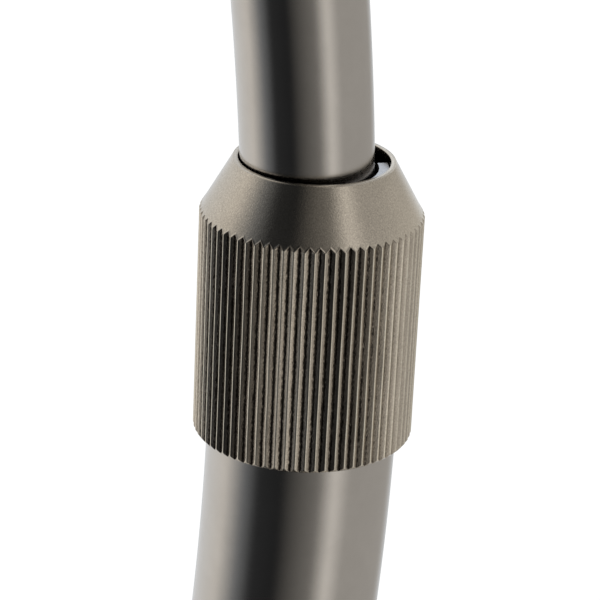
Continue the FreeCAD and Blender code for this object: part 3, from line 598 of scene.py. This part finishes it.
def pad_layers():
    """Cover from its front seam over the edges to the lip behind the board, then back inside.

    Each row is (number of rings, inset from the pad's side, x, sag of the sides, size of the puckers).
    """
    back = PAD_BOX[1].x
    board = BOARD_BOX[0].x
    middle = (PAD_SEAM_X + board) / 2
    return [
        (PAD_RINGS, PAD_SEAM_INSET, PAD_SEAM_X, PAD_SAG, 0),
        (3, 1.9 * MM, PAD_SEAM_X + 3 * MM, PAD_SAG, PUCKER),
        (4, 0.9 * MM, PAD_SEAM_X + 9 * MM, PAD_SAG * 0.8, PUCKER * 0.6),
        (5, 0.4 * MM, middle, PAD_SAG * 0.6, PUCKER * 0.25),
        (5, 0.8 * MM, board - 8 * MM, PAD_SAG * 0.3, PUCKER * 0.3),
        (3, 1.45 * MM, board, 0, PUCKER * 0.4),
        (5, 1.4 * MM, back - 4 * MM, 0, PUCKER * 0.3),
        (3, 2.0 * MM, back - 1.2 * MM, 0, 0),
        (2, 3.6 * MM, back - 0.1 * MM, 0, 0),
        (7, PAD_LIP, back - 0.3 * MM, 0, 0),
        (1, PAD_LIP + 0.3 * MM, back - 1.2 * MM, 0, 0),
        (1, PAD_LIP, back - 1.9 * MM, 0, 0),
        (6, 2.4 * MM, back - 1.9 * MM, 0, 0),
        (1, 1.9 * MM, back - 2.4 * MM, 0, 0),
        (3, 1.9 * MM, board - 0.1 * MM, 0, 0),
        (1, 2.6 * MM, board - 0.3 * MM, 0, 0),
    ]


def pad_ring(number, inset, x, sag, pucker=0.0):
    """Points of one ring of the cover, gathered by puckers; ring number n has 8 n points."""
    middle = (PAD_BOX[0] + PAD_BOX[1]) / 2
    wide = (PAD_BOX[1].y - PAD_BOX[0].y) / 2 - inset
    tall = (PAD_BOX[1].z - PAD_BOX[0].z) / 2 - inset
    corner = min(max(PAD_CORNER - inset, PAD_WINDOW_CORNER), wide * PAD_CORNER_MOST)
    ring = []
    for k in range(8 * number):
        y, z = rounded_square(wide, tall, corner, k / (2 * number), sag)
        fold = abs(noise_at(Vector((y, z, 0)) / PUCKER_LONG))
        pull = 1 - pucker * fold / wide
        ring.append(Vector((x, middle.y + y * pull, middle.z + z * pull)))
    return ring


def pad_rings():
    """All the rings of the cover, from the middle of its crowned front."""
    rings = []
    layers = pad_layers()
    steps, seam_inset, seam_x, sag, _ = layers[0]
    half = (PAD_BOX[1].y - PAD_BOX[0].y) / 2
    for i in range(1, steps + 1):
        share = i / steps
        inset = half - (half - seam_inset) * share
        ring = pad_ring(i, inset, seam_x - PAD_CROWN * (1 - share ** CROWN_POWER), sag * share)
        gather = PUCKER * share ** GATHER_POWER
        for point in ring:
            point.x += gather * abs(noise_at(Vector((point.y, point.z, 0)) / PUCKER_LONG))
        rings.append(ring)
    number = steps
    last = layers[0]
    for layer in layers[1:]:
        for i in range(1, layer[0] + 1):
            share = i / layer[0]
            number += 1
            inset, x, sag, pucker = [a + (b - a) * share for a, b in zip(last[1:], layer[1:])]
            rings.append(pad_ring(number, inset, x, sag, pucker))
        last = layer
    return rings


def join_rings(faces, inner, outer, number):
    """Faces between ring number n (8 n points) and ring n + 1 round it (8 n + 8 points)."""
    for side in range(4):
        for k in range(2 * number):
            a, b = side * 2 * number + k, side * 2 * number + k + 1
            c = side * (2 * number + 2) + k + 1
            faces.append((inner + a, inner + b % (8 * number), outer + (c + 1) % (8 * number + 8), outer + c))
        corner = side * (2 * number + 2)
        before = (corner - 1) % (8 * number + 8)
        faces.append((inner + side * 2 * number, outer + (corner + 1), outer + corner, outer + before))


def pad_mesh():
    """Leather cover as one grid folded round the foam and the board, closed flat in front of the board."""
    rings = pad_rings()
    middle = rings[0][0].copy()
    middle.y = (PAD_BOX[0].y + PAD_BOX[1].y) / 2
    middle.z = (PAD_BOX[0].z + PAD_BOX[1].z) / 2
    points, starts = [middle], []
    for ring in rings:
        starts.append(len(points))
        points += ring
    faces = []
    for side in range(4):
        k = side * 2
        faces.append((0, 1 + k, 1 + (k + 1) % 8, 1 + (k + 2) % 8))
    for n in range(1, len(rings)):
        join_rings(faces, starts[n - 1], starts[n], n)
    faces.append(tuple(starts[-1] + k for k in range(len(rings[-1]))))
    mesh = bpy.data.meshes.new("pad_skin")
    mesh.from_pydata(points, [], faces)
    mesh.update()
    maker = bmesh.new()
    maker.from_mesh(mesh)
    bmesh.ops.recalc_face_normals(maker, faces=maker.faces)
    maker.to_mesh(mesh)
    maker.free()
    return smooth(mesh), starts


def piping_mesh(line, radius):
    """Round cord of leather along a closed line of points in a plane across X."""
    rings = []
    ahead = Vector((1, 0, 0))
    for i, point in enumerate(line):
        forward = (line[(i + 1) % len(line)] - line[i - 1]).normalized()
        side = forward.cross(ahead).normalized()
        ring = []
        for k in range(PIPING_SIDES):
            a = 2 * math.pi * k / PIPING_SIDES
            ring.append(point + side * radius * math.cos(a) + ahead * radius * math.sin(a))
        rings.append(ring)
    return loop_mesh("piping", rings)


def stitch_mesh(line, outward, long, gap, radius):
    """Row of thread stitches along a closed line; each one is a bowed, tapered capsule."""
    lengths = [0.0]
    for i in range(len(line)):
        lengths.append(lengths[-1] + (line[(i + 1) % len(line)] - line[i]).length)
    number = round(lengths[-1] / (long + gap))
    pitch = lengths[-1] / number
    mesh = bpy.data.meshes.new("stitches")
    points, faces, index = [], [], 0
    for n in range(number):
        rows = []
        for step in range(STITCH_STEPS + 1):
            travelled = n * pitch + long * step / STITCH_STEPS
            while lengths[index + 1] < travelled:
                index += 1
            share = (travelled - lengths[index]) / (lengths[index + 1] - lengths[index])
            a, b = line[index % len(line)], line[(index + 1) % len(line)]
            out = outward[index % len(line)]
            bow = math.sin(math.pi * step / STITCH_STEPS)
            rows.append((a.lerp(b, share) + out * (bow - STITCH_SINK) * radius, (b - a).normalized(), out,
                         radius * (THREAD_END + (1 - THREAD_END) * bow ** 0.5)))
        start = len(points)
        for point, forward, out, thick in rows:
            side = forward.cross(out).normalized()
            for k in range(THREAD_SIDES):
                a = 2 * math.pi * k / THREAD_SIDES
                points.append(point + side * thick * math.cos(a) + out * thick * math.sin(a))
        for step in range(STITCH_STEPS):
            row = start + step * THREAD_SIDES
            for k in range(THREAD_SIDES):
                a, b = row + k, row + (k + 1) % THREAD_SIDES
                faces.append((a, b, b + THREAD_SIDES, a + THREAD_SIDES))
        end = start + STITCH_STEPS * THREAD_SIDES
        faces.append(tuple(start + k for k in reversed(range(THREAD_SIDES))))
        faces.append(tuple(end + k for k in range(THREAD_SIDES)))
    mesh.from_pydata(points, [], faces)
    mesh.update()
    return smooth(mesh)


def make_pad(materials):
    """Upholstered pad: crowned leather cover, piping in its front seam and a row of stitches each side."""
    mesh, starts = pad_mesh()
    cover = make_object("leather_pad", mesh, materials["pad_leather"], "handle")
    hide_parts("pad_cover", "pad_foam")
    spots = [v.co.copy() for v in mesh.vertices]
    normals = [v.normal.copy() for v in mesh.vertices]
    seam = PAD_RINGS - 1
    line = [spots[starts[seam] + k] - Vector((PIPING_AHEAD, 0, 0)) for k in range(8 * PAD_RINGS)]
    piping = piping_mesh(line, PIPING_R)
    make_object("pad_piping", piping, materials["piping_leather"], "handle")
    for name, ring in (("front_stitches", seam - STITCH_RINGS), ("side_stitches", seam + STITCH_RINGS)):
        row = [starts[ring] + k for k in range(8 * (ring + 1))]
        thread = stitch_mesh([spots[i] + normals[i] * STITCH_LIFT for i in row], [normals[i] for i in row],
                             STITCH_LONG, STITCH_GAP, THREAD_R)
        make_object(name, thread, materials["thread"], "handle")


# ---- paint for the CAD nodes ------------------------------------------------------------------
def paint_nodes(materials):
    """Gives every CAD node the material of its slot."""
    slots = {row["node"]: row["material_slot"] for row in frame["record"]["subparts"]}
    for name, piece in frame["nodes"].items():
        piece.data.materials.clear()
        piece.data.materials.append(materials[slots[name]])


# ---- studio -----------------------------------------------------------------------------------
def camera_axes():
    """Right, down and forward of the picture in the tool's frame."""
    forward = -(COLLAR_AXIS * math.sin(VIEW_TILT) + ACROSS * math.cos(VIEW_TILT))
    level_right = COLLAR_SIDE
    level_down = -COLLAR_AXIS * math.cos(VIEW_TILT) + ACROSS * math.sin(VIEW_TILT)
    right = level_right * math.cos(VIEW_ROLL) - level_down * math.sin(VIEW_ROLL)
    down = level_down * math.cos(VIEW_ROLL) + level_right * math.sin(VIEW_ROLL)
    return right, down, forward


def make_camera():
    right, down, forward = camera_axes()
    data = bpy.data.cameras.new("camera")
    data.lens = CAMERA_LENS
    data.clip_start = 0.01
    data.clip_end = 20
    camera = bpy.data.objects.new("camera", data)
    bpy.context.scene.collection.objects.link(camera)
    place = COLLAR_FOOT - right * VIEW_RIGHT - down * VIEW_DOWN - forward * VIEW_DISTANCE
    turn = Matrix((right, -down, -forward)).transposed()
    camera.matrix_world = Matrix.Translation(place) @ turn.to_4x4()
    bpy.context.scene.camera = camera


# Soft studio round the shaft: (degrees from the camera's side over the top of the tool, brightness, tint)
COOL = (0.95, 0.98, 1.02)
WARM = (1.05, 1.0, 0.93)
STUDIO = [
    (-180, 0.8, COOL), (-100, 0.7, WARM), (-70, 0.2, COOL), (-50, 0.03, COOL), (-20, 0.02, COOL),
    (0, 0.1, WARM), (25, 0.2, WARM), (45, 0.7, WARM), (65, 0.4, WARM), (140, 0.4, WARM), (180, 0.8, COOL),
]


def make_room():
    """Room seen in the metal; the backdrop itself is plain white."""
    world = bpy.data.worlds.new("studio")
    world.use_nodes = True
    bpy.context.scene.world = world
    nodes, links = world.node_tree.nodes, world.node_tree.links
    nodes.clear()
    direction = nodes.new("ShaderNodeTexCoord").outputs["Generated"]
    angle = nodes.new("ShaderNodeMath")
    angle.operation = "ARCTAN2"
    links.new(dot_with(nodes, links, direction, COLLAR_SIDE), angle.inputs[0])
    links.new(dot_with(nodes, links, direction, ACROSS), angle.inputs[1])
    turn = add_node(nodes, "ShaderNodeMapRange", From_Min=-math.pi, From_Max=math.pi)
    links.new(angle.outputs["Value"], turn.inputs["Value"])
    stops = [((degrees + 180) / 360, [glow * t for t in tint]) for degrees, glow, tint in STUDIO]
    room = add_node(nodes, "ShaderNodeBackground", Strength=1.0)
    links.new(ramp(nodes, links, turn.outputs["Result"], stops), room.inputs["Color"])
    backdrop = add_node(nodes, "ShaderNodeBackground", Color=(1, 1, 1, 1), Strength=BACKDROP_GLOW)
    path = nodes.new("ShaderNodeLightPath")
    mix = nodes.new("ShaderNodeMixShader")
    links.new(path.outputs["Is Camera Ray"], mix.inputs["Fac"])
    links.new(room.outputs["Background"], mix.inputs[1])
    links.new(backdrop.outputs["Background"], mix.inputs[2])
    output = nodes.new("ShaderNodeOutputWorld")
    links.new(mix.outputs["Shader"], output.inputs["Surface"])


def make_floor():
    mesh = bpy.data.meshes.new("floor")
    maker = bmesh.new()
    bmesh.ops.create_grid(maker, x_segments=8, y_segments=8, size=FLOOR_HALF)
    maker.to_mesh(mesh)
    maker.free()
    material, _, _, shader = new_material("floor")
    shader.inputs["Base Color"].default_value = (0.9, 0.9, 0.9, 1)
    shader.inputs["Roughness"].default_value = 1
    shader.inputs["Emission Color"].default_value = (1, 1, 1, 1)
    shader.inputs["Emission Strength"].default_value = FLOOR_GLOW
    mesh.materials.append(material)
    floor = bpy.data.objects.new("floor", mesh)
    bpy.context.scene.collection.objects.link(floor)
    floor.location.z = -FLOOR_DROP
    floor.visible_glossy = False


def soft_light(name, place, aim, size, power):
    data = bpy.data.lights.new(name, "AREA")
    data.size = size
    data.energy = power
    lamp = bpy.data.objects.new(name, data)
    bpy.context.scene.collection.objects.link(lamp)
    direction = Vector(aim) - Vector(place)
    lamp.matrix_world = Matrix.Translation(place) @ direction.to_track_quat("-Z", "Y").to_matrix().to_4x4()
    lamp.visible_glossy = False


def make_lights():
    soft_light("top_light", (0.2, 0.3, 1.6), (0, 0, 0.05), 1.4, 22)
    soft_light("side_light", (-1.0, 1.2, 0.9), (0, 0, 0.05), 1.0, 8)
    soft_light("back_light", (0.8, -1.4, 0.9), (0, 0, 0.05), 1.0, 8)


# ---- the tool ---------------------------------------------------------------------------------
MATERIALS = {
    "brushed_tube": brushed_tube(),
    "satin_nickel": satin_nickel(),
    "collet_steel": collet_steel(),
    "turned_steel": grained_metal("turned_steel", (0.5, 0.49, 0.47), (0.6, 0.59, 0.57), 0.28, 0.3, 0.15),
    "cast_alloy": grained_metal("cast_alloy", (0.34, 0.34, 0.33), (0.56, 0.56, 0.54), 0.38, 0.6, 1.0),
    "zinc_bolt": grained_metal("zinc_bolt", (0.55, 0.56, 0.56), (0.66, 0.66, 0.64), 0.3, 0.4, 0.2),
    "plywood": plywood(),
    "foam": plain_surface("foam", (0.62, 0.55, 0.32), (0.72, 0.65, 0.42), 0.9, 0.8, 0.6),
    "pad_leather": leather("pad_leather"),
    "piping_leather": leather("piping_leather"),
    "thread": plain_surface("thread", (0.09, 0.085, 0.08), (0.16, 0.15, 0.14), 0.6, 0.25, 0.4),
    "tack_nickel": grained_metal("tack_nickel", (0.55, 0.53, 0.50), (0.65, 0.62, 0.58), 0.2, 0.6, 0.1),
    "nylon": plain_surface("nylon", (0.78, 0.77, 0.72), (0.84, 0.83, 0.78), 0.45, 0.4, 0.1),
    "plate_steel": grained_metal("plate_steel", (0.45, 0.45, 0.45), (0.55, 0.55, 0.54), 0.33, 0.35, 0.2),
    "seal_rubber": plain_surface("seal_rubber", (0.015, 0.015, 0.015), (0.03, 0.03, 0.03), 0.6, 0.3, 0.2),
    "dial_steel": grained_metal("dial_steel", (0.55, 0.53, 0.50), (0.68, 0.66, 0.62), 0.22, 0.25, 0.2),
    "carrier_alloy": grained_metal("carrier_alloy", (0.55, 0.55, 0.55), (0.65, 0.65, 0.65), 0.35, 0.4, 0.2),
    "pin_steel": grained_metal("pin_steel", (0.5, 0.5, 0.5), (0.6, 0.6, 0.6), 0.25, 0.4, 0.1),
}

make_camera()
make_room()
make_floor()
make_lights()
paint_nodes(MATERIALS)
make_tubes(MATERIALS["brushed_tube"])
make_collar(MATERIALS["satin_nickel"])
make_pad(MATERIALS)
bpy.context.scene.view_settings.view_transform = "Standard"
